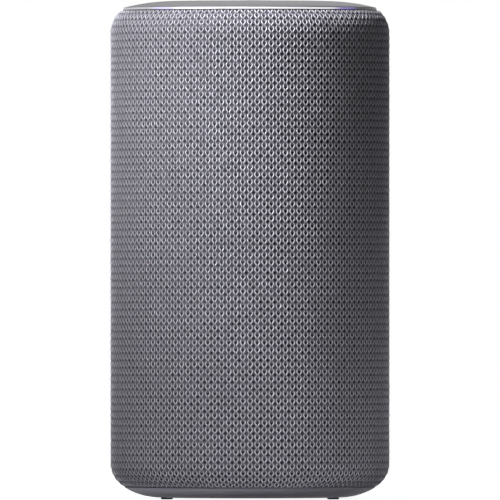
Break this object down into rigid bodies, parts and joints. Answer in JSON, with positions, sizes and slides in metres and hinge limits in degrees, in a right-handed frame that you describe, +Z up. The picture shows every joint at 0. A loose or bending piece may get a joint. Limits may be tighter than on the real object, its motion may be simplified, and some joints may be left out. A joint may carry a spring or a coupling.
{
  "type": "smart speaker",
  "caption": "Cylindrical smart speaker: knitted grey sleeve, domed cap with press keys, a lit ring, a sealed chamber with a down-firing woofer and front tweeter, and rear sockets.",
  "frame": {"origin": "centre of the footprint, on the ground", "axes": "+Z up through the cap; -Y is the front, where the ring is lit; +Y is the back, where the sockets are"},
  "size_m": [0.083, 0.083, 0.148],
  "materials": {
    "action_button": "satin moulded plastic key",
    "action_plunger": "white nylon plunger",
    "antennas": "etched antenna strip on board",
    "audio_jack": "black nylon socket",
    "base_cover": "dark grey moulded plastic, fine texture",
    "base_screws": "black oxide steel screw",
    "board_screws": "zinc-plated steel, fine turning marks",
    "bottom_plate": "matt rubber-faced plate, unprinted",
    "chamber_body": "moulded glass-filled plastic, dark",
    "chamber_lid": "moulded glass-filled plastic, dark",
    "control_board": "green solder mask on glass-fibre board",
    "dc_jack": "black nylon socket with a plated centre pin",
    "fabric_sleeve": "knitted polyester, heather grey, open ribbed loops",
    "foot_strips": "soft black rubber",
    "frame_screws": "black oxide steel screw",
    "grille_tube": "dark moulded plastic tube with slots",
    "heat_spreader": "milled aluminium plate",
    "lid_screws": "black oxide steel screw",
    "light_ring": "milky diffuser, lit at the front",
    "main_board": "green solder mask on glass-fibre board",
    "main_board_components": "black moulded chip packages",
    "microphone_gaskets": "black silicone boots",
    "microphones": "plated microphone cans",
    "mute_button": "satin moulded plastic key",
    "mute_plunger": "white nylon plunger",
    "pillar_screws": "black oxide steel screw",
    "port_bezel": "dark grey moulded plastic",
    "port_board": "green solder mask on glass-fibre board",
    "port_cable": "grey flat ribbon cable",
    "ribbon_cable": "white film flat cable",
    "shield_can": "tinned steel can",
    "sound_deflector": "moulded dark plastic",
    "speaker_wires": "red and black PVC insulation",
    "status_leds": "white LED packages",
    "switch_bodies": "black tactile switch housings",
    "top_cap": "grey moulded cap, fine satin texture",
    "top_frame": "moulded dark plastic",
    "trim_ring": "dark moulded trim",
    "tweeter_cup": "zinc-plated steel, fine turning marks",
    "tweeter_dome": "anodised aluminium dome",
    "tweeter_faceplate": "black moulded faceplate",
    "tweeter_magnet": "nickel-plated magnet and pole plate",
    "tweeter_screws": "black oxide steel screw",
    "tweeter_surround": "thin rubber suspension",
    "volume_down_button": "satin moulded plastic key",
    "volume_down_plunger": "white nylon plunger",
    "volume_up_button": "satin moulded plastic key",
    "volume_up_plunger": "white nylon plunger",
    "wire_grommet": "black rubber grommet",
    "woofer_cone": "pressed pulp cone, black",
    "woofer_dust_cap": "pressed pulp cap, black",
    "woofer_frame": "pressed steel basket, black electrocoat",
    "woofer_gasket": "foam rubber gasket",
    "woofer_magnet": "ferrite ring, dark grey sintered",
    "woofer_screws": "black oxide steel screw",
    "woofer_spider": "resin-stiffened corrugated disc",
    "woofer_surround": "butyl rubber half roll",
    "woofer_top_plate": "zinc-plated steel, fine turning marks",
    "woofer_voice_coil": "enamelled copper winding on a former",
    "woofer_yoke": "zinc-plated steel, fine turning marks"
  },
  "bodies": {
    "housing": {"antennas": "antennas", "audio_jack": "audio_jack", "base_cover": "base_cover", "base_screws": "base_screws", "board_screws": "board_screws", "bottom_plate": "bottom_plate", "chamber_body": "chamber_body", "chamber_lid": "chamber_lid", "control_board": "control_board", "dc_jack": "dc_jack", "fabric_sleeve": "fabric_sleeve", "foot_strips": "foot_strips", "frame_screws": "frame_screws", "grille_tube": "grille_tube", "heat_spreader": "heat_spreader", "lid_screws": "lid_screws", "light_ring": "light_ring", "main_board": "main_board", "main_board_components": "main_board_components", "microphone_gaskets": "microphone_gaskets", "microphones": "microphones", "pillar_screws": "pillar_screws", "port_bezel": "port_bezel", "port_board": "port_board", "port_cable": "port_cable", "ribbon_cable": "ribbon_cable", "shield_can": "shield_can", "sound_deflector": "sound_deflector", "speaker_wires": "speaker_wires", "status_leds": "status_leds", "switch_bodies": "switch_bodies", "top_cap": "top_cap", "top_frame": "top_frame", "trim_ring": "trim_ring", "tweeter_cup": "tweeter_cup", "tweeter_faceplate": "tweeter_faceplate", "tweeter_magnet": "tweeter_magnet", "tweeter_screws": "tweeter_screws", "tweeter_surround": "tweeter_surround", "wire_grommet": "wire_grommet", "woofer_frame": "woofer_frame", "woofer_gasket": "woofer_gasket", "woofer_magnet": "woofer_magnet", "woofer_screws": "woofer_screws", "woofer_spider": "woofer_spider", "woofer_surround": "woofer_surround", "woofer_top_plate": "woofer_top_plate", "woofer_yoke": "woofer_yoke"},
    "mute_key": {"mute_button": "mute_button", "mute_plunger": "mute_plunger"},
    "volume_up_key": {"volume_up_button": "volume_up_button", "volume_up_plunger": "volume_up_plunger"},
    "action_key": {"action_button": "action_button", "action_plunger": "action_plunger"},
    "volume_down_key": {"volume_down_button": "volume_down_button", "volume_down_plunger": "volume_down_plunger"},
    "woofer_diaphragm": {"woofer_cone": "woofer_cone", "woofer_dust_cap": "woofer_dust_cap", "woofer_voice_coil": "woofer_voice_coil"},
    "tweeter_diaphragm": {"tweeter_dome": "tweeter_dome"}
  },
  "joints": [
    {"name": "mute_press", "type": "slide", "parent": "housing", "child": "mute_key", "axis": [0, 0, -1], "range_m": [0, 0.00035], "stiffness_N_per_m": 1500, "springref_m": -0.0003},
    {"name": "volume_up_press", "type": "slide", "parent": "housing", "child": "volume_up_key", "axis": [0, 0, -1], "range_m": [0, 0.00035], "stiffness_N_per_m": 1500, "springref_m": -0.0003},
    {"name": "action_press", "type": "slide", "parent": "housing", "child": "action_key", "axis": [0, 0, -1], "range_m": [0, 0.00035], "stiffness_N_per_m": 1500, "springref_m": -0.0003},
    {"name": "volume_down_press", "type": "slide", "parent": "housing", "child": "volume_down_key", "axis": [0, 0, -1], "range_m": [0, 0.00035], "stiffness_N_per_m": 1500, "springref_m": -0.0003},
    {"name": "woofer_excursion", "type": "slide", "parent": "housing", "child": "woofer_diaphragm", "axis": [0, 0, 1], "range_m": [-0.003, 0.003], "stiffness_N_per_m": 1200, "deforming": ["woofer_surround", "woofer_spider"]},
    {"name": "tweeter_excursion", "type": "slide", "parent": "housing", "child": "tweeter_diaphragm", "axis": [0, 1, 0], "range_m": [-0.0003, 0.0003], "stiffness_N_per_m": 3000, "deforming": ["tweeter_surround"]}
  ]
}
